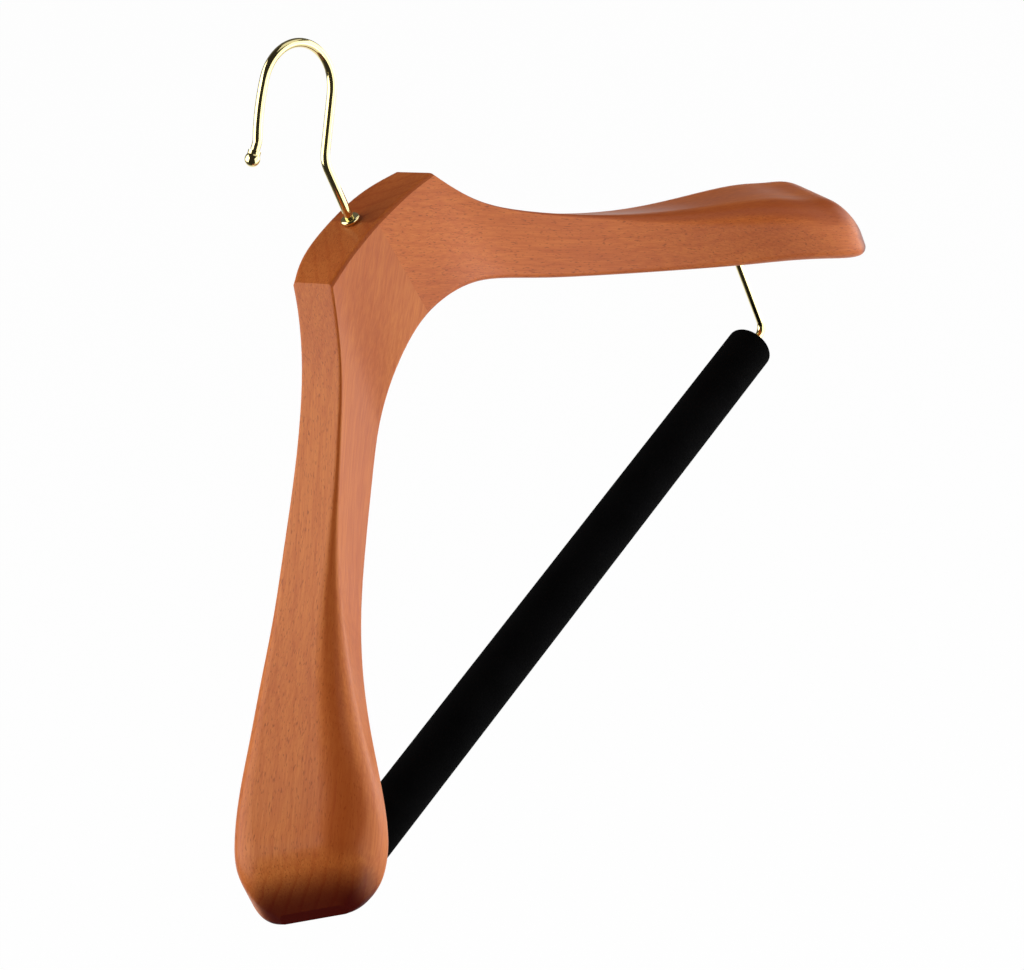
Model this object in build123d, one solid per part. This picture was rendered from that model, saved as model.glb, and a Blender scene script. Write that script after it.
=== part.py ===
from build123d import *
import os
from math import cos, radians, sin, sqrt, tan

# Suit hanger with flared shoulders, a swivelling brass hook and a felted trouser bar.
# +X runs along the right arm, +Y to the wearer's back, +Z up. The origin is where the
# hook hangs on its rail: the inside of the crown, straight above the swivel axis.
# Heights below are taken from the top of the nose, where the two arms meet.

# Wooden arms
SPAN = 457.0
ARM_DROP = 168.0
ARM_BOW = 61.0
SHOULDER_WIDTH = 60.0
SHOULDER_ROUND = 12.5
UNDERSIDE_ROUND = 7.0
TOE_TURN = 25.0
NOSE_LEAN = 7.6

# Nose of the hanger, where the two arms are mitred together
NOSE_HALF_WIDTH = 38.0
NOSE_CROWN = 2.4
NOSE_EDGE_ROUND = 2.6
NOSE_PROUD = 0.25
NOSE_TRIM_DEPTH = 5.2
NOSE_STATION_COUNT = 8
MIRRORED_STATION_COUNT = 3

# Station where the arm's inner and outer lofts meet, and how many more each of them follows
MEETING_STATION = 6
SHARED_STATION_COUNT = 4

# Glued mitre joint
DOWEL_DIAMETER = 6.0
DOWEL_LENGTH = 32.0
DOWEL_FORWARD = 8.6
DOWEL_DEPTHS = (14.0, 32.0)
DOWEL_CHAMFER = 0.6
GLUE_GAP = 0.05

# Brass hook
WIRE_DIAMETER = 3.8
CROWN_RADIUS = 18.7
CROWN_HEIGHT = 62.8
CROWN_OFFSET = 2.4
CROWN_END_ANGLE = 133.0
NECK_LEAN = 38.6
NECK_RADIUS = 12.0
LEG_RADIUS = 91.0
LEG_TURN = 15.0
KICK_RADIUS = 6.0
KICK_TURN = 20.0
KICK_LENGTH = 6.2
HOOK_TURN = -7.0

# Ball cap on the hook's tip
BALL_DIAMETER = 6.2
BALL_SKIRT_DIAMETER = 5.2
BALL_SKIRT_LENGTH = 3.4

# Swivel: flanged bush above, washer and riveted head below
BUSH_DIAMETER = 6.0
BUSH_LENGTH = 14.0
COLLAR_DIAMETER = 8.2
COLLAR_HEIGHT = 2.2
COLLAR_ROUND = 1.0
RUNNING_GAP = 0.08
SHANK_CLEARANCE = 0.5
WASHER_DIAMETER = 10.0
WASHER_THICKNESS = 1.2
HEAD_DIAMETER = 6.6
HEAD_HEIGHT = 1.8
HEAD_ROUND = 1.1
HEAD_GAP = 0.15
RECESS_DIAMETER = 11.0
RECESS_DEPTH = 5.5

# Trouser bar and the two bent wires that carry it
BAR_LENGTH = 330.4
BAR_DIAMETER = 21.2
FELT_THICKNESS = 0.8
BAR_END_ROUND = 1.2
BAR_FORWARD = 34.0
BAR_DEPTH = 187.8
ROD_DIAMETER = 3.6
ROD_STANDOFF = 13.0
ROD_BEND_RADIUS = 5.0
ROD_SEAT_DEPTH = 20.0
PIN_DEPTH = 18.0
PIN_END_GAP = 0.5

# Cuts run past the wood by this much
OVERRUN = 5.0

# Stations along the right arm, from the mitre to the toe. Each holds shares of: half the span,
# the bow, the shoulder width, the drop to the top and to the underside, the shoulder round in
# front and at the back, the underside round, the toe's turn and the nose's lean.
STATION_SHARES = (
    (0.000, 0.022, 0.463, -0.16, 0.276, 0.12, 0.12, 0.28, 0.00, 1.0),
    (0.080, 0.036, 0.461, -0.13, 0.289, 0.12, 0.12, 0.28, 0.00, 1.0),
    (0.140, 0.077, 0.421, -0.05, 0.319, 0.12, 0.12, 0.28, 0.00, 0.8),
    (0.180, 0.114, 0.378, 0.043, 0.349, 0.12, 0.12, 0.28, 0.00, 0.6),
    (0.230, 0.146, 0.362, 0.150, 0.395, 0.12, 0.12, 0.28, 0.00, 0.3),
    (0.300, 0.194, 0.366, 0.250, 0.464, 0.14, 0.13, 0.28, 0.00, 0.1),
    (0.400, 0.266, 0.397, 0.361, 0.557, 0.20, 0.15, 0.30, 0.00, 0.0),
    (0.500, 0.344, 0.463, 0.460, 0.646, 0.42, 0.22, 0.35, 0.00, 0.0),
    (0.600, 0.457, 0.562, 0.547, 0.728, 0.80, 0.34, 0.42, 0.14, 0.0),
    (0.700, 0.600, 0.715, 0.621, 0.802, 1.15, 0.50, 0.52, 0.34, 0.0),
    (0.790, 0.748, 0.862, 0.681, 0.862, 1.42, 0.68, 0.65, 0.56, 0.0),
    (0.860, 0.845, 0.965, 0.737, 0.912, 1.56, 0.82, 0.80, 0.78, 0.0),
    (0.910, 0.906, 0.985, 0.783, 0.952, 1.52, 0.90, 0.90, 0.92, 0.0),
    (0.945, 0.945, 0.905, 0.813, 0.978, 1.32, 0.90, 0.75, 0.97, 0.0),
    (0.963, 0.963, 0.795, 0.844, 0.987, 1.05, 0.81, 0.58, 0.99, 0.0),
    (0.974, 0.977, 0.680, 0.881, 0.990, 0.74, 0.64, 0.42, 1.00, 0.0),
    (0.980, 0.987, 0.560, 0.921, 0.990, 0.43, 0.42, 0.28, 1.00, 0.0),
    (0.983, 0.993, 0.450, 0.960, 0.989, 0.18, 0.18, 0.13, 1.00, 0.0),
)


def underside_at(x):
    """Height of the arm's underside, straight from station to station."""
    stations = [(row[0] * SPAN / 2, -row[4] * ARM_DROP) for row in STATION_SHARES]
    for (x_in, z_in), (x_out, z_out) in zip(stations, stations[1:]):
        if x <= x_out:
            return z_in + (z_out - z_in) * (x - x_in) / (x_out - x_in)
    return z_out


# Places worked out from the sizes above
wire_radius = WIRE_DIAMETER / 2
rail_seat_height = CROWN_HEIGHT + sqrt((CROWN_RADIUS - wire_radius) ** 2 - CROWN_OFFSET**2)
stock_top = -STATION_SHARES[0][3] * ARM_DROP
arch_top = underside_at(0)
recess_roof = arch_top + RECESS_DEPTH
head_top = recess_roof - WASHER_THICKNESS - HEAD_GAP
bar_z = -BAR_DEPTH
rod_x = BAR_LENGTH / 2 + ROD_STANDOFF
rod_top = underside_at(rod_x) + ROD_SEAT_DEPTH
pin_bore_depth = PIN_DEPTH + PIN_END_GAP


def arm_section(shares):
    """One upright slice across the arm: flat sides, with its four corners rounded."""
    along, bow, width, top, under, front_round, back_round, under_round, turn, lean = shares
    half = width * SHOULDER_WIDTH / 2
    z_top = -top * ARM_DROP
    z_under = -under * ARM_DROP
    slant = (z_top - z_under) / 2 * tan(radians(lean * NOSE_LEAN))
    corners = [(half, z_top), (-half + slant, z_top), (-half - slant, z_under), (half, z_under)]
    radii = [back_round * SHOULDER_ROUND, front_round * SHOULDER_ROUND]
    radii += [under_round * UNDERSIDE_ROUND] * 2
    angle = radians(turn * TOE_TURN)
    x = along * SPAN / 2
    y = -bow * ARM_BOW
    points = [(x + across * sin(angle), y + across * cos(angle), up) for across, up in corners]
    return Face(Wire(FilletPolyline(*points, radius=radii, close=True).edges()))


def half_nose_loft(make_section, rows):
    """Loft that starts on the other side of the mitre, so that it crosses it smoothly, cut at it."""
    mirrored_rows = [(-row[0], *row[1:]) for row in rows[MIRRORED_STATION_COUNT:0:-1]]
    whole = loft([make_section(row) for row in [*mirrored_rows, *rows]])
    return split(whole, bisect_by=Plane.YZ, keep=Keep.TOP)


def arm_blank():
    """The whole arm before its holes: an inner and an outer loft that meet at a shared station."""
    inner_rows = STATION_SHARES[: MEETING_STATION + SHARED_STATION_COUNT + 1]
    outer_rows = STATION_SHARES[MEETING_STATION - SHARED_STATION_COUNT :]
    meeting = Plane.YZ.offset(STATION_SHARES[MEETING_STATION][0] * SPAN / 2)
    inner = half_nose_loft(arm_section, inner_rows)
    outer = loft([arm_section(row) for row in outer_rows])
    return split(inner, bisect_by=meeting, keep=Keep.BOTTOM) + split(outer, bisect_by=meeting, keep=Keep.TOP)


def crown_height_at(x):
    """Height of the nose's crowned top, an arc that is lowest at the crease."""
    crown_radius = (NOSE_HALF_WIDTH**2 + NOSE_CROWN**2) / (2 * NOSE_CROWN)
    return sqrt(crown_radius**2 - x**2) - crown_radius


def nose_section(shares):
    """Slice of the sanded nose: the arm's slice, a trifle wider, with a level top at the crown."""
    along, bow, width, top, under, *_, lean = shares
    x = along * SPAN / 2
    z_top = crown_height_at(x)
    z_low = z_top - NOSE_TRIM_DEPTH - OVERRUN
    slope = tan(radians(lean * NOSE_LEAN))
    middle = -(top + under) / 2 * ARM_DROP
    half = width * SHOULDER_WIDTH / 2 + NOSE_PROUD
    back = -bow * ARM_BOW + half
    front = -bow * ARM_BOW - half - middle * slope
    corners = [(back, z_top), (front + z_top * slope, z_top), (front + z_low * slope, z_low), (back, z_low)]
    points = [(x, y, z) for y, z in corners]
    return Face(Wire(FilletPolyline(*points, radius=NOSE_EDGE_ROUND, close=True).edges()))


def nose_waste():
    """What is sanded off above the crown and outside its two rounded edges."""
    nose = half_nose_loft(nose_section, STATION_SHARES[:NOSE_STATION_COUNT])
    reach = NOSE_HALF_WIDTH + OVERRUN
    height = stock_top + NOSE_TRIM_DEPTH + OVERRUN
    block = Box(reach, 2 * SHOULDER_WIDTH, height, align=(Align.MIN, Align.CENTER, Align.MIN))
    return Pos(0, 0, -NOSE_TRIM_DEPTH) * block - nose


def upright_bore(diameter, top, bottom):
    """Round cutter on the swivel axis, between two heights."""
    return Pos(0, 0, (top + bottom) / 2) * Cylinder(diameter / 2, top - bottom)


def swivel_holes():
    """Bore for the hook's shank, seat for its bush and recess for its washer and head."""
    below = arch_top - OVERRUN
    bore = upright_bore(WIRE_DIAMETER + 2 * SHANK_CLEARANCE, OVERRUN, below)
    seat = upright_bore(BUSH_DIAMETER + 2 * GLUE_GAP, OVERRUN, -BUSH_LENGTH)
    recess = upright_bore(RECESS_DIAMETER, recess_roof, below)
    return [bore, seat, recess]


def across_joint(diameter, length, depth):
    """Cylinder that crosses the mitre joint at one of the dowels' depths."""
    return Pos(0, -DOWEL_FORWARD, -depth) * Rot(0, 90, 0) * Cylinder(diameter / 2, length)


def dowel_holes():
    """Sockets for the two dowels, a little longer than they are."""
    diameter = DOWEL_DIAMETER + 2 * GLUE_GAP
    length = DOWEL_LENGTH + 2 * DOWEL_CHAMFER
    return [across_joint(diameter, length, depth) for depth in DOWEL_DEPTHS]


def rod_hole():
    """Blind hole in the underside for the upright end of a rod."""
    top = rod_top + GLUE_GAP
    bottom = bar_z
    hole = Cylinder(ROD_DIAMETER / 2 + GLUE_GAP, top - bottom)
    return Pos(rod_x, -BAR_FORWARD, (top + bottom) / 2) * hole


def make_right_arm():
    """Beech arm: its blank, trimmed and rounded at the nose, then drilled."""
    arm = arm_blank()
    arm -= nose_waste()
    for cutter in [*swivel_holes(), *dowel_holes(), rod_hole()]:
        arm -= cutter
    return arm


def make_dowels():
    """Two dowels hidden in the mitre joint."""
    dowels = Part()
    for depth in DOWEL_DEPTHS:
        piece = across_joint(DOWEL_DIAMETER, DOWEL_LENGTH, depth)
        dowels += chamfer(piece.edges().filter_by(GeomType.CIRCLE), DOWEL_CHAMFER)
    return dowels


def hook_path():
    """Centre line of the bent wire, from its riveted end to its tip."""
    reach = CROWN_RADIUS + CROWN_OFFSET * cos(radians(NECK_LEAN))
    corner_height = CROWN_HEIGHT - reach / sin(radians(NECK_LEAN))
    bend_start = corner_height - NECK_RADIUS * tan(radians(NECK_LEAN / 2))
    stem = Line((0, head_top), (0, bend_start))
    bend = JernArc(stem @ 1, stem % 1, NECK_RADIUS, -NECK_LEAN)
    crown = CenterArc((CROWN_OFFSET, CROWN_HEIGHT), CROWN_RADIUS, -NECK_LEAN, NECK_LEAN + CROWN_END_ANGLE)
    neck = Line(bend @ 1, crown @ 0)
    leg = JernArc(crown @ 1, crown % 1, LEG_RADIUS, LEG_TURN)
    kick = JernArc(leg @ 1, leg % 1, KICK_RADIUS, -KICK_TURN)
    tip = Line(kick @ 1, (kick @ 1) + (kick % 1) * KICK_LENGTH)
    path = Wire([stem, bend, neck, crown, leg, kick, tip])
    return Rot(0, 0, HOOK_TURN) * (Plane.XZ * path)


def make_hook():
    """Hook bent from round brass wire, with a riveted head under the washer."""
    path = hook_path()
    start = Plane(origin=path @ 0, z_dir=path % 0)
    wire = sweep(start * Circle(wire_radius), path=path)
    head = Pos(0, 0, head_top - HEAD_HEIGHT / 2) * Cylinder(HEAD_DIAMETER / 2, HEAD_HEIGHT)
    head = fillet(head.edges().sort_by(Axis.Z)[0], HEAD_ROUND)
    return wire + head


def make_ball():
    """Ball cap with a short skirt, pressed onto the hook's tip."""
    path = hook_path()
    ball = Sphere(BALL_DIAMETER / 2)
    ball += Pos(0, 0, -BALL_SKIRT_LENGTH / 2) * Cylinder(BALL_SKIRT_DIAMETER / 2, BALL_SKIRT_LENGTH)
    socket = Pos(0, 0, -BALL_DIAMETER / 2) * Cylinder(wire_radius + GLUE_GAP, BALL_DIAMETER)
    return Plane(origin=path @ 1, z_dir=path % 1) * (ball - socket)


def make_bush():
    """Brass bush that lines the top of the bore and shows as a rounded collar."""
    collar = upright_bore(COLLAR_DIAMETER, COLLAR_HEIGHT + GLUE_GAP, GLUE_GAP)
    collar = fillet(collar.edges().filter_by(GeomType.CIRCLE), COLLAR_ROUND)
    barrel = upright_bore(BUSH_DIAMETER, COLLAR_HEIGHT / 2, -BUSH_LENGTH + GLUE_GAP)
    bore = upright_bore(WIRE_DIAMETER + 2 * RUNNING_GAP, COLLAR_HEIGHT + OVERRUN, -BUSH_LENGTH - OVERRUN)
    return collar + barrel - bore


def make_washer():
    """Brass washer that the riveted head turns against, up in the recess."""
    bottom = recess_roof - WASHER_THICKNESS
    washer = upright_bore(WASHER_DIAMETER, recess_roof, bottom)
    return washer - upright_bore(WIRE_DIAMETER + 2 * RUNNING_GAP, recess_roof + OVERRUN, bottom - OVERRUN)


def make_right_rod():
    """Brass wire bent square: one end up in the arm, the other a pin in the trouser bar."""
    pin_end = BAR_LENGTH / 2 - PIN_DEPTH
    points = [(rod_x, -BAR_FORWARD, rod_top), (rod_x, -BAR_FORWARD, bar_z), (pin_end, -BAR_FORWARD, bar_z)]
    path = Wire(FilletPolyline(*points, radius=ROD_BEND_RADIUS).edges())
    start = Plane(origin=path @ 0, z_dir=path % 0)
    return sweep(start * Circle(ROD_DIAMETER / 2), path=path)


def along_bar(diameter, length, centre_x=0):
    """Cylinder on the trouser bar's axis."""
    return Pos(centre_x, -BAR_FORWARD, bar_z) * Rot(0, 90, 0) * Cylinder(diameter / 2, length)


def pin_bores():
    """Bores in both ends of the bar, which turn on the rods' pins."""
    centre = (BAR_LENGTH - pin_bore_depth) / 2
    diameter = ROD_DIAMETER + 2 * RUNNING_GAP
    return [along_bar(diameter, pin_bore_depth, side * centre) for side in (-1, 1)]


def make_bar_core():
    """Beech dowel inside the trouser bar."""
    core = along_bar(BAR_DIAMETER - 2 * FELT_THICKNESS, BAR_LENGTH - 2 * FELT_THICKNESS)
    for bore in pin_bores():
        core -= bore
    return core


def make_bar_felt():
    """Felt glued all round the dowel and over its ends."""
    felt = along_bar(BAR_DIAMETER, BAR_LENGTH)
    felt = fillet(felt.edges().filter_by(GeomType.CIRCLE), BAR_END_ROUND)
    felt -= along_bar(
        BAR_DIAMETER - 2 * FELT_THICKNESS + 2 * GLUE_GAP, BAR_LENGTH - 2 * FELT_THICKNESS + 2 * GLUE_GAP
    )
    for bore in pin_bores():
        felt -= bore
    return felt


arm_right = make_right_arm()
rod_right = make_right_rod()
nodes = {
    "arm_right": arm_right,
    "arm_left": mirror(arm_right, about=Plane.YZ),
    "mitre_dowels": make_dowels(),
    "hook_wire": make_hook(),
    "hook_tip_ball": make_ball(),
    "hook_bush": make_bush(),
    "hook_washer": make_washer(),
    "rod_right": rod_right,
    "rod_left": mirror(rod_right, about=Plane.YZ),
    "bar_core": make_bar_core(),
    "bar_felt": make_bar_felt(),
}

os.makedirs("parts", exist_ok=True)
for name, shape in nodes.items():
    export_step(Pos(0, 0, -rail_seat_height) * shape, f"parts/{name}.step")
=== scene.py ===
from math import pi, radians

import bmesh
import bpy
from mathutils import Euler, Matrix, Vector


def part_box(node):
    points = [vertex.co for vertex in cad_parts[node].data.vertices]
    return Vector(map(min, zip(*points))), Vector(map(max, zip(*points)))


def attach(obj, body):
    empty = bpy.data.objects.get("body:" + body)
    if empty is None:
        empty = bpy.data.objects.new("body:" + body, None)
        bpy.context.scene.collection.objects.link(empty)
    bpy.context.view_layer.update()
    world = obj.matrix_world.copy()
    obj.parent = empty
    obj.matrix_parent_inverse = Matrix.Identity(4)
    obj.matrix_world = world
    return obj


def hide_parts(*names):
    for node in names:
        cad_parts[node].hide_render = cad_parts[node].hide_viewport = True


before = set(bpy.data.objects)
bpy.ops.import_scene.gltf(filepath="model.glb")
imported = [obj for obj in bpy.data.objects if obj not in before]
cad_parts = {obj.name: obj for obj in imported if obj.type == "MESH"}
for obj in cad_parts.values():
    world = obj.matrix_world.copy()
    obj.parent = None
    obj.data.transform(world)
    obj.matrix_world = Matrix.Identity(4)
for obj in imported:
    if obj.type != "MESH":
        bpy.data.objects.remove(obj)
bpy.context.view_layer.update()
bpy.ops.object.select_all(action="DESELECT")


# Studio
# The hanger hangs clear of a pale floor, with white behind it and four softboxes round it.
# The ceiling and the rest of the room are dim, so polished brass and lacquer mirror a dark
# side as well as a white one.
WHITE = (1, 1, 1, 1)
FLOOR_HEIGHT = -1.7
FLOOR_SIZE = 7.4
FLOOR_PLACE = (2.9, 1.0)
FLOOR_COLOUR = (0.86, 0.86, 0.86, 1)
FLOOR_GLOW = 0.98
ROOM_COLOUR = (0.03, 0.028, 0.026, 1)
CEILING_COLOUR = (0.12, 0.118, 0.115, 1)
BACKDROP_SIDE = Vector((0.55, 0.60, -0.58))
# From across the backdrop's side (0) to straight at it (1).
ROOM_TONES = ((0.0, ROOM_COLOUR), (0.3, CEILING_COLOUR), (0.9, CEILING_COLOUR), (0.97, WHITE))
WORLD_LIGHT = 0.12
HANGER_MIDDLE = (0, 0, -0.15)
LEFT_OF_NOSE = (-0.1, -0.05, -0.15)
# Name, place, target, width and power in watts of each softbox.
SOFTBOXES = (
    ("high_softbox", (-1.45, 1.85, 1.3), HANGER_MIDDLE, 3.6, 116),
    ("low_softbox", (0.5, -1.8, -0.8), HANGER_MIDDLE, 2.8, 47),
    ("side_softbox", (2.0, -0.8, -0.7), LEFT_OF_NOSE, 1.7, 17),
    ("fill_softbox", (1.9, -1.1, 1.5), HANGER_MIDDLE, 2.0, 11),
)
CAMERA_PLACE = Vector((-0.8717, -0.9251, 0.5788))
CAMERA_RIGHT = Vector((0.50920, -0.79134, -0.33837))
CAMERA_DOWN = Vector((-0.62903, -0.07386, -0.77386))
CAMERA_AHEAD = Vector((0.58740, 0.60690, -0.53539))
SENSOR_WIDTH = 36.0
FOCAL_LENGTH = 123.05


def connect(tree, socket, source):
    """Links an input to a pair of a node and its output, or gives it a plain value."""
    if isinstance(source, tuple) and isinstance(source[0], bpy.types.Node):
        node, output = source
        tree.links.new(node.outputs[output], socket)
    else:
        socket.default_value = source


def give(tree, node, **sources):
    """Connects a node's inputs by their names."""
    for name, source in sources.items():
        connect(tree, node.inputs[name.replace("_", " ")], source)


def add_node(tree, kind, *sources, **settings):
    """A shader node with its settings, its first inputs in order and other inputs by name."""
    node = tree.nodes.new(kind)
    for name, value in settings.items():
        if hasattr(node, name):
            setattr(node, name, value)
        else:
            give(tree, node, **{name: value})
    for socket, source in zip(node.inputs, sources):
        connect(tree, socket, source)
    return node


def maths(tree, operation, *sources):
    """The result of one sum on values."""
    return add_node(tree, "ShaderNodeMath", *sources, operation=operation), 0


def vector_maths(tree, operation, *sources, output="Vector", **settings):
    """The result of one sum on vectors."""
    return add_node(tree, "ShaderNodeVectorMath", *sources, operation=operation, **settings), output


def ramp_of(tree, source, stops, interpolation="LINEAR"):
    """The colours at a value, on a ramp through the given places and colours."""
    node = add_node(tree, "ShaderNodeValToRGB", source)
    ramp = node.color_ramp
    ramp.interpolation = interpolation
    while len(ramp.elements) < len(stops):
        ramp.elements.new(0.5)
    for element, (place, colour) in zip(ramp.elements, stops):
        element.position = place
        element.color = colour
    return node, 0


def make_floor_paint():
    """Matt white where lamps light it, and an even glow where the camera or a mirror sees it."""
    paint = bpy.data.materials.new("pale_floor")
    paint.use_nodes = True
    tree = paint.node_tree
    tree.nodes.clear()
    rays = add_node(tree, "ShaderNodeLightPath")
    seen = maths(tree, "ADD", (rays, "Is Camera Ray"), (rays, "Is Glossy Ray"))
    seen = maths(tree, "ADD", seen, (rays, "Is Transmission Ray"))
    share = maths(tree, "MULTIPLY", seen, FLOOR_GLOW)
    matt = add_node(tree, "ShaderNodeBsdfDiffuse", Color=FLOOR_COLOUR)
    glow = add_node(tree, "ShaderNodeEmission", Color=WHITE)
    blend = add_node(tree, "ShaderNodeMixShader", share, (matt, 0), (glow, 0))
    add_node(tree, "ShaderNodeOutputMaterial", (blend, 0))
    return paint


def make_world():
    """White to the camera, a dim room with a white backdrop to mirrors, else a faint light."""
    world = bpy.data.worlds.new("studio")
    world.use_nodes = True
    tree = world.node_tree
    tree.nodes.clear()
    rays = add_node(tree, "ShaderNodeLightPath")
    place = add_node(tree, "ShaderNodeTexCoord")
    look = (place, "Generated")
    side = BACKDROP_SIDE.normalized()
    sideways = vector_maths(tree, "DOT_PRODUCT", look, side, output="Value")
    mirrored = add_node(tree, "ShaderNodeBackground", ramp_of(tree, sideways, ROOM_TONES))
    lit = add_node(tree, "ShaderNodeBackground", WHITE, WORLD_LIGHT)
    white = add_node(tree, "ShaderNodeBackground", WHITE)
    seen = maths(tree, "ADD", (rays, "Is Camera Ray"), (rays, "Is Transmission Ray"))
    unseen = add_node(
        tree, "ShaderNodeMixShader", (rays, "Is Glossy Ray"), (lit, 0), (mirrored, 0)
    )
    shown = add_node(tree, "ShaderNodeMixShader", seen, (unseen, 0), (white, 0))
    add_node(tree, "ShaderNodeOutputWorld", (shown, 0))
    return world


def add_softbox(name, place, target, width, power):
    """Square area lamp that points from its place at a target."""
    lamp = bpy.data.lights.new(name, "AREA")
    lamp.size = width
    lamp.energy = power
    box = bpy.data.objects.new(name, lamp)
    bpy.context.scene.collection.objects.link(box)
    box.location = place
    aim = Vector(target) - Vector(place)
    box.rotation_euler = aim.to_track_quat("-Z", "Y").to_euler()


bpy.ops.mesh.primitive_plane_add(size=FLOOR_SIZE, location=(*FLOOR_PLACE, FLOOR_HEIGHT))
floor = bpy.context.object
floor.name = "floor"
bpy.ops.object.transform_apply(location=True)
floor.data.materials.append(make_floor_paint())

bpy.context.scene.world = make_world()
for softbox in SOFTBOXES:
    add_softbox(*softbox)

camera_data = bpy.data.cameras.new("photo_camera")
camera_data.sensor_width = SENSOR_WIDTH
camera_data.lens = FOCAL_LENGTH
camera = bpy.data.objects.new("photo_camera", camera_data)
bpy.context.scene.collection.objects.link(camera)
axes = Matrix((CAMERA_RIGHT, -CAMERA_DOWN, -CAMERA_AHEAD)).transposed()
camera.matrix_world = Matrix.Translation(CAMERA_PLACE) @ axes.to_4x4()
bpy.context.scene.camera = camera
bpy.context.scene.view_settings.view_transform = "Standard"


# Wooden arms
# Two solid beech halves, milled from thick plank, flared at the shoulders and glued at the
# middle. They are stained orange cherry, which the end grain at nose and toes drinks most,
# and finished with a satin lacquer. The dark toe ends are partly painted shade, the rolled
# front edge is painted shade, and the left arm's paler stain is painted light.
ARM_SLOPE = radians(35.0)
ARM_SWEEP = radians(14.0)
ORANGE_STAIN = {
    "Light": (0.62, 0.165, 0.032, 1),
    "Middle": (0.56, 0.128, 0.018, 1),
    "Dark": (0.44, 0.080, 0.009, 1),
    "Fleck": (0.27, 0.050, 0.006, 1),
}
# The left arm's copy of the stain, made paler as painted light.
PAINTED_LIGHT_LEFT_STAIN = {
    **ORANGE_STAIN,
    "Light": (0.64, 0.190, 0.042, 1),
    "Middle": (0.57, 0.148, 0.024, 1),
}
# Dark end-grain colour, which on the toe ends is also painted shade.
END_GRAIN_AND_TOE_SHADE_COLOUR = (0.085, 0.0035, 0.001, 1)
BLACK = (0, 0, 0, 1)
GRAIN_WANDER = 0.006
GRAIN_WANDER_SCALE = 9.0
BAND_SCALE = (4, 38, 38)
BAND_EDGES = (0.30, 0.70)
FIBRE_SCALE = (45, 1300, 1300)
FIBRE_TONES = ((0.34, (0.2, 0.2, 0.2, 1)), (0.66, (0.8, 0.8, 0.8, 1)))
FIBRE_SHARE = 0.32
RING_SCALE = 62.0
RING_WAVER = 2.2
RING_WAVER_SCALE = 1.4
RING_EDGES = (0.62, 0.97)
FLECK_SCALE = (400, 2100, 2100)
FLECK_EDGES = (0.61, 0.72)
# Along the grain, then on end grain.
RING_SHARES = (0.25, 0.9)
# Off the ray faces, then on them.
FLECK_SHARES = (0.04, 0.7)
# The way the right toe's end grain looks, and where its mask starts and ends.
# Its dark colour on the toe ends is partly end grain and partly painted shade.
TOE_FACE = (0.75, -0.40, -0.53)
TOE_EDGES = (0.50, 0.84)
# The same for the rolled upper edge in front, which is painted darker as shade.
ROLL_SHADE_FACE = (0.30, -0.63, 0.72)
ROLL_SHADE_EDGES = (0.87, 0.985)
ROLL_PAINTED_SHADE_COLOUR = (0.34, 0.052, 0.006, 1)
ROLL_SHADE_SHARE = 0.55
# The mask of the ray faces, which the wood's short flecks show on.
RAY_EDGES = (0.2, 0.8)
# On the dark bands, then on the light ones.
LACQUER_ROUGHNESS = (0.36, 0.46)
LACQUER_GLOSS = 0.18
LACQUER_COAT = 0.08
LACQUER_COAT_ROUGHNESS = 0.2
PORE_RELIEF = 0.05
PORE_DEPTH = 0.0002
# Numbers of the mixing node's colour inputs and of its colour output.
COLOUR_A, COLOUR_B, COLOUR_RESULT = 6, 7, 2


def mask_of(tree, source, start, end, interpolation="LINEAR"):
    """Black below one value, white above another."""
    return ramp_of(tree, source, ((start, BLACK), (end, WHITE)), interpolation)


def mix_colours(tree, share, first, second, blend="MIX"):
    """A second colour laid over a first one by its share."""
    mixed = add_node(tree, "ShaderNodeMix", share, data_type="RGBA", blend_type=blend)
    connect(tree, mixed.inputs[COLOUR_A], first)
    connect(tree, mixed.inputs[COLOUR_B], second)
    return mixed, COLOUR_RESULT


def between(tree, source, low, high):
    """A value from 0 to 1 spread between two others."""
    return add_node(tree, "ShaderNodeMapRange", source, To_Min=low, To_Max=high), 0


def noise_of(tree, place, scale, detail, roughness=0.5, output=0):
    """Cloudy noise, finer with a larger scale."""
    noise = add_node(
        tree, "ShaderNodeTexNoise", place, Scale=scale, Detail=detail, Roughness=roughness
    )
    return noise, output


def streaks_of(tree, place, scale, detail, roughness):
    """Noise that has its own scale along and across the grain."""
    drawn_out = add_node(tree, "ShaderNodeMapping", place, vector_type="POINT", Scale=scale)
    return noise_of(tree, (drawn_out, 0), 1.0, detail, roughness)


def group_with(name, entries, exits):
    """An empty shader node group with its inputs and outputs, each with a kind."""
    group = bpy.data.node_groups.new(name, "ShaderNodeTree")
    for way, sockets in (("INPUT", entries), ("OUTPUT", exits)):
        for label, kind in sockets.items():
            group.interface.new_socket(label, in_out=way, socket_type="NodeSocket" + kind)
    return group, group.nodes.new("NodeGroupInput"), group.nodes.new("NodeGroupOutput")


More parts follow.
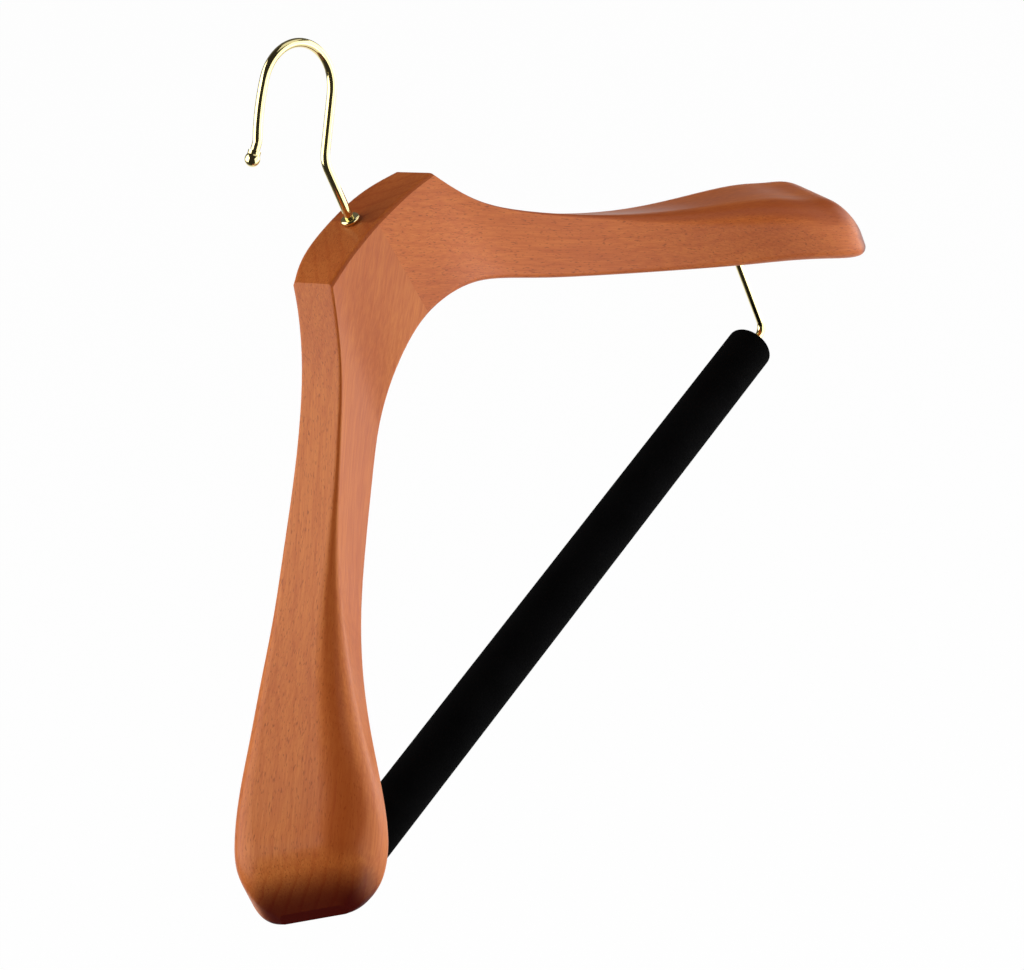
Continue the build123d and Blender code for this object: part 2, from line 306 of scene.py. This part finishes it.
def make_beech_group():
    """Beech along its own X: tone bands, growth rings, fine fibres and short ray flecks."""
    group, entry, leave = group_with(
        "beech_grain",
        {
            "Place": "Vector",
            "Light": "Color",
            "Middle": "Color",
            "Dark": "Color",
            "Fleck": "Color",
            "Fleck Amount": "Float",
            "Ring Amount": "Float",
        },
        {"Color": "Color", "Height": "Float", "Tone": "Float"},
    )
    place = (entry, "Place")
    wander = noise_of(group, place, GRAIN_WANDER_SCALE, detail=2.0, output="Color")
    drift = vector_maths(group, "SCALE", wander, Scale=GRAIN_WANDER)
    moved = vector_maths(group, "ADD", place, drift)

    bands = streaks_of(group, moved, BAND_SCALE, detail=4.0, roughness=0.55)
    tone = mask_of(group, bands, *BAND_EDGES, "EASE")
    darker = mix_colours(group, tone, (entry, "Dark"), (entry, "Middle"))
    banded = mix_colours(group, bands, darker, (entry, "Light"))

    rings = add_node(
        group,
        "ShaderNodeTexWave",
        moved,
        wave_type="RINGS",
        rings_direction="X",
        wave_profile="SAW",
        Scale=RING_SCALE,
        Distortion=RING_WAVER,
        Detail=2.0,
        Detail_Scale=RING_WAVER_SCALE,
    )
    ring_mask = mask_of(group, (rings, "Fac"), *RING_EDGES, "EASE")
    ring_share = maths(group, "MULTIPLY", ring_mask, (entry, "Ring Amount"))
    ringed = mix_colours(group, ring_share, banded, (entry, "Dark"))

    fibres = streaks_of(group, moved, FIBRE_SCALE, detail=3.0, roughness=0.6)
    fibre_tone = ramp_of(group, fibres, FIBRE_TONES)
    fibrous = mix_colours(group, FIBRE_SHARE, ringed, fibre_tone, "SOFT_LIGHT")

    flecks = streaks_of(group, moved, FLECK_SCALE, detail=1.0, roughness=0.4)
    fleck_mask = mask_of(group, flecks, *FLECK_EDGES)
    fleck_share = maths(group, "MULTIPLY", fleck_mask, (entry, "Fleck Amount"))
    flecked = mix_colours(group, fleck_share, fibrous, (entry, "Fleck"))

    height = maths(group, "SUBTRACT", fibres, fleck_share)
    give(group, leave, Color=flecked, Height=height, Tone=tone)
    return group


beech_grain = make_beech_group()


def make_facing_group():
    """How squarely a surface faces one direction of the wood, or both ways along it."""
    group, entry, leave = group_with(
        "wood_facing",
        {
            "Normal": "Vector",
            "Direction": "Vector",
            "From": "Float",
            "To": "Float",
            "Both Ways": "Float",
        },
        {"Facing": "Float"},
    )
    normal, direction = (entry, "Normal"), (entry, "Direction")
    one_way = vector_maths(group, "DOT_PRODUCT", normal, direction, output="Value")
    either_way = maths(group, "ABSOLUTE", one_way)
    chosen = add_node(
        group,
        "ShaderNodeMix",
        data_type="FLOAT",
        Factor=(entry, "Both Ways"),
        A=one_way,
        B=either_way,
    )
    facing = add_node(
        group,
        "ShaderNodeMapRange",
        (chosen, 0),
        interpolation_type="SMOOTHSTEP",
        From_Min=(entry, "From"),
        From_Max=(entry, "To"),
    )
    give(group, leave, Facing=(facing, 0))
    return group


wood_facing = make_facing_group()


def faces_along(tree, place, direction, start, end, both_ways=0.0):
    """Mask of the faces of one arm that look along a direction."""
    mask = add_node(
        tree,
        "ShaderNodeGroup",
        node_tree=wood_facing,
        Normal=(place, "Normal"),
        Direction=direction,
        From=start,
        To=end,
        Both_Ways=both_ways,
    )
    return mask, "Facing"


def new_material(name):
    """A new material, its node tree, its shader and its texture coordinates."""
    material = bpy.data.materials.new(name)
    material.use_nodes = True
    tree = material.node_tree
    return material, tree, tree.nodes["Principled BSDF"], add_node(tree, "ShaderNodeTexCoord")


def make_stained_beech(name, side, offset, ray_direction, nose_edges, stain):
    """Lacquered beech whose grain runs down the arm of one side, 1 for right and -1 for left."""
    material, tree, wood, place = new_material(name)
    turn = Euler((0, side * ARM_SLOPE, -side * ARM_SWEEP))
    to_nose = turn.to_matrix() @ Vector((-side, 0, 0))
    toe_face, roll_shade_face = ((side * x, y, z) for x, y, z in (TOE_FACE, ROLL_SHADE_FACE))
    nose_grain = faces_along(tree, place, to_nose, *nose_edges)
    # The toe mask marks end grain and also paints shade on the toe ends.
    toe_grain_and_shade = faces_along(tree, place, toe_face, *TOE_EDGES)
    end_grain_and_toe_shade = maths(tree, "MAXIMUM", nose_grain, toe_grain_and_shade)
    ray_faces = faces_along(tree, place, ray_direction, *RAY_EDGES, both_ways=1.0)
    along_arm = add_node(
        tree,
        "ShaderNodeMapping",
        (place, "Object"),
        vector_type="TEXTURE",
        Rotation=turn,
        Location=offset,
    )
    grain = add_node(
        tree,
        "ShaderNodeGroup",
        node_tree=beech_grain,
        Place=(along_arm, 0),
        Fleck_Amount=between(tree, ray_faces, *FLECK_SHARES),
        Ring_Amount=between(tree, end_grain_and_toe_shade, *RING_SHARES),
        **stain,
    )
    # Painted shade: the rolled front upper edge is darkened by the way it faces.
    roll_shade_mask = faces_along(tree, place, roll_shade_face, *ROLL_SHADE_EDGES)
    roll_shade_share = maths(tree, "MULTIPLY", roll_shade_mask, ROLL_SHADE_SHARE)
    roll_shaded = mix_colours(tree, roll_shade_share, (grain, "Color"), ROLL_PAINTED_SHADE_COLOUR)
    pores = add_node(
        tree,
        "ShaderNodeBump",
        Strength=PORE_RELIEF,
        Distance=PORE_DEPTH,
        Height=(grain, "Height"),
    )
    give(
        tree,
        wood,
        Base_Color=mix_colours(tree, end_grain_and_toe_shade, roll_shaded, END_GRAIN_AND_TOE_SHADE_COLOUR),
        Roughness=between(tree, (grain, "Tone"), *LACQUER_ROUGHNESS),
        Normal=(pores, 0),
        Specular_IOR_Level=LACQUER_GLOSS,
        Coat_Weight=LACQUER_COAT,
        Coat_Roughness=LACQUER_COAT_ROUGHNESS,
    )
    return material


def dress(node, material):
    """Gives a CAD node its finish."""
    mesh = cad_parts[node].data
    mesh.materials.clear()
    mesh.materials.append(material)


beech_right = make_stained_beech(
    "beech_right",
    side=1,
    offset=(0.31, 0.045, -0.05),
    ray_direction=(0.0, 1.0, 0.0),
    nose_edges=(0.30, 0.85),
    stain=ORANGE_STAIN,
)
beech_left = make_stained_beech(
    "beech_left",
    side=-1,
    offset=(-0.17, 0.05, -0.07),
    ray_direction=(-0.57, 0.0, 0.82),
    nose_edges=(0.38, 0.92),
    stain=PAINTED_LIGHT_LEFT_STAIN,
)
dress("arm_right", beech_right)
dress("arm_left", beech_left)


# Dowels and bar core
# Plain beech turned to size. The dowels are glued across the mitre, and the core is what the
# felt is wrapped round. Neither shows on the finished hanger.
BARE_BEECH = {
    "Light": (0.74, 0.55, 0.36, 1),
    "Middle": (0.66, 0.46, 0.28, 1),
    "Dark": (0.52, 0.33, 0.18, 1),
    "Fleck": (0.36, 0.20, 0.10, 1),
    "Fleck_Amount": 0.6,
    "Ring_Amount": 0.3,
}
BARE_ROUGHNESS = 0.6


def make_plain_beech():
    """Bare beech whose grain runs along X."""
    material, tree, wood, place = new_material("plain_beech")
    grain = add_node(
        tree, "ShaderNodeGroup", node_tree=beech_grain, Place=(place, "Object"), **BARE_BEECH
    )
    give(tree, wood, Base_Color=(grain, "Color"), Roughness=BARE_ROUGHNESS)
    return material


plain_beech = make_plain_beech()
dress("mitre_dowels", plain_beech)
dress("bar_core", plain_beech)


# Hook, its fittings and the rods
# Round brass wire and turned brass fittings, polished bright. The hook is bent cold and its
# end riveted under the washer. The rods are bent square and pushed up into the arms.
BRASS_PIECES = (
    "hook_wire",
    "hook_tip_ball",
    "hook_bush",
    "hook_washer",
    "rod_right",
    "rod_left",
)
BRASS_TONES = ((0.3, (0.83, 0.71, 0.32, 1)), (0.75, (0.89, 0.78, 0.41, 1)))
BRASS_ROUGHNESS = (0.07, 0.15)
TARNISH_SCALE = 90.0
RUB_SCALE = 420.0


def make_brass():
    """Polished brass with faint rubbing marks and a little tarnish."""
    material, tree, brass, place = new_material("polished_brass")
    tarnish = noise_of(tree, (place, "Object"), TARNISH_SCALE, detail=3.0)
    rubbing = noise_of(tree, (place, "Object"), RUB_SCALE, detail=4.0, roughness=0.65)
    give(
        tree,
        brass,
        Base_Color=ramp_of(tree, tarnish, BRASS_TONES),
        Roughness=between(tree, rubbing, *BRASS_ROUGHNESS),
        Metallic=1.0,
    )
    return material


polished_brass = make_brass()
for piece in BRASS_PIECES:
    dress(piece, polished_brass)


# Felt sleeve of the trouser bar
# Black velvet-pile felt wrapped round the dowel and glued, its long edges butted along the
# back. Each end is closed by a felt disc with a hole for the rod's pin.
FELT_LOW, FELT_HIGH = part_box("bar_felt")
FELT_MIDDLE = (FELT_LOW + FELT_HIGH) / 2
FELT_LENGTH = FELT_HIGH.x - FELT_LOW.x
FELT_RADIUS = (FELT_HIGH.z - FELT_LOW.z) / 2
FELT_SIDES = 96
FELT_STEPS = 60
FELT_WALL = 0.00078
END_ROUND = 0.0013
END_ROUND_STEPS = 4
DISC_MARGIN = 0.0009
DISC_STEP = 0.0004
DISC_DEPTH = 0.00035
PIN_HOLE_RADIUS = 0.00205
SEAM_TURN = radians(-130)
SEAM_WIDTH = 0.0008
SEAM_DEPTH = 0.00035
SEAM_STEPS = 2
SMOOTH_BELOW = radians(50)
NEAR = 0.0001
PILE_SCALE = 2600.0
PILE_RELIEF = 0.6
PILE_DEPTH = 0.0003
NAP_SCALE = 60.0
NAP_TONES = ((0.3, (0.0006, 0.0006, 0.0007, 1)), (0.8, (0.0020, 0.0020, 0.0022, 1)))
FELT_ROUGHNESS = 0.95
FELT_GLOSS = 0.03
FELT_SHEEN = 0.004
FELT_SHEEN_ROUGHNESS = 0.5


def choose(piece, kind, test):
    """Selects only those faces, edges or vertices of the piece being edited that pass a test."""
    bpy.ops.mesh.select_mode(type={"faces": "FACE", "edges": "EDGE", "verts": "VERT"}[kind])
    bpy.ops.mesh.select_all(action="DESELECT")
    mesh = bmesh.from_edit_mesh(piece.data)
    for part in getattr(mesh, kind):
        if test(part):
            part.select_set(True)
    mesh.select_flush_mode()
    bmesh.update_edit_mesh(piece.data)


def close_ends(sleeve):
    """Rounds both rims, sets a disc into each end and opens the hole for the pin."""
    choose(sleeve, "edges", lambda edge: abs(edge.verts[0].co.x - edge.verts[1].co.x) < NEAR)
    bpy.ops.mesh.bevel(offset=END_ROUND, segments=END_ROUND_STEPS, affect="EDGES")
    choose(sleeve, "faces", lambda face: len(face.verts) == FELT_SIDES)
    bpy.ops.mesh.inset(thickness=DISC_MARGIN)
    bpy.ops.mesh.inset(thickness=DISC_STEP, depth=-DISC_DEPTH)
    disc_radius = FELT_RADIUS - END_ROUND - DISC_MARGIN - DISC_STEP
    bpy.ops.mesh.inset(thickness=disc_radius - PIN_HOLE_RADIUS)
    bpy.ops.mesh.delete(type="FACE")


def press_seam(sleeve):
    """Sinks a narrow groove along the line where the felt's long edges meet."""
    choose(sleeve, "edges", lambda edge: edge.calc_length() > FELT_LENGTH / 2)
    bpy.ops.mesh.subdivide(number_cuts=FELT_STEPS)
    aim = Vector((0, FELT_RADIUS))
    aim.rotate(Matrix.Rotation(SEAM_TURN, 2))
    aim += FELT_MIDDLE.yz
    body = [
        vert.co.yz
        for vert in bmesh.from_edit_mesh(sleeve.data).verts
        if abs(vert.co.x - FELT_MIDDLE.x) < FELT_LENGTH / 4
    ]
    line = min(body, key=lambda point: (point - aim).length)

    def on_seam(vert):
        """Whether a vertex lies on the seam's line."""
        return (vert.co.yz - line).length < NEAR

    choose(sleeve, "edges", lambda edge: all(on_seam(vert) for vert in edge.verts))
    bpy.ops.mesh.bevel(offset=SEAM_WIDTH / 2, segments=SEAM_STEPS, affect="EDGES")
    reach = FELT_LENGTH / 2 - 2 * END_ROUND
    choose(
        sleeve,
        "verts",
        lambda vert: on_seam(vert) and abs(vert.co.x - FELT_MIDDLE.x) < reach,
    )
    bpy.ops.transform.shrink_fatten(value=-SEAM_DEPTH)


def make_felt_sleeve():
    """Sleeve with rounded ends, set-in end discs, a butted seam and the felt's own wall."""
    bpy.ops.object.select_all(action="DESELECT")
    bpy.ops.mesh.primitive_cylinder_add(
        vertices=FELT_SIDES,
        radius=FELT_RADIUS,
        depth=FELT_LENGTH,
        location=FELT_MIDDLE,
        rotation=(0, pi / 2, 0),
    )
    sleeve = bpy.context.object
    sleeve.name = "bar_felt_sleeve"
    bpy.ops.object.transform_apply(location=True, rotation=True, scale=True)
    bpy.ops.object.mode_set(mode="EDIT")
    close_ends(sleeve)
    press_seam(sleeve)
    bpy.ops.object.mode_set(mode="OBJECT")

    wall = sleeve.modifiers.new("wall", "SOLIDIFY")
    wall.thickness = FELT_WALL
    wall.offset = -1
    bpy.ops.object.modifier_apply(modifier=wall.name)
    bpy.ops.object.shade_smooth_by_angle(angle=SMOOTH_BELOW)
    return sleeve


def make_felt():
    """Black pile that takes up nearly all light, with a faint sheen."""
    material, tree, felt, place = new_material("black_felt")
    pile = noise_of(tree, (place, "Object"), PILE_SCALE, detail=3.0, roughness=0.7)
    nap = noise_of(tree, (place, "Object"), NAP_SCALE, detail=4.0)
    relief = add_node(
        tree, "ShaderNodeBump", Strength=PILE_RELIEF, Distance=PILE_DEPTH, Height=pile
    )
    give(
        tree,
        felt,
        Base_Color=ramp_of(tree, nap, NAP_TONES),
        Normal=(relief, 0),
        Roughness=FELT_ROUGHNESS,
        Specular_IOR_Level=FELT_GLOSS,
        Sheen_Weight=FELT_SHEEN,
        Sheen_Roughness=FELT_SHEEN_ROUGHNESS,
    )
    return material


felt_sleeve = make_felt_sleeve()
felt_sleeve.data.materials.append(make_felt())
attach(felt_sleeve, "trouser_bar")
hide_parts("bar_felt")
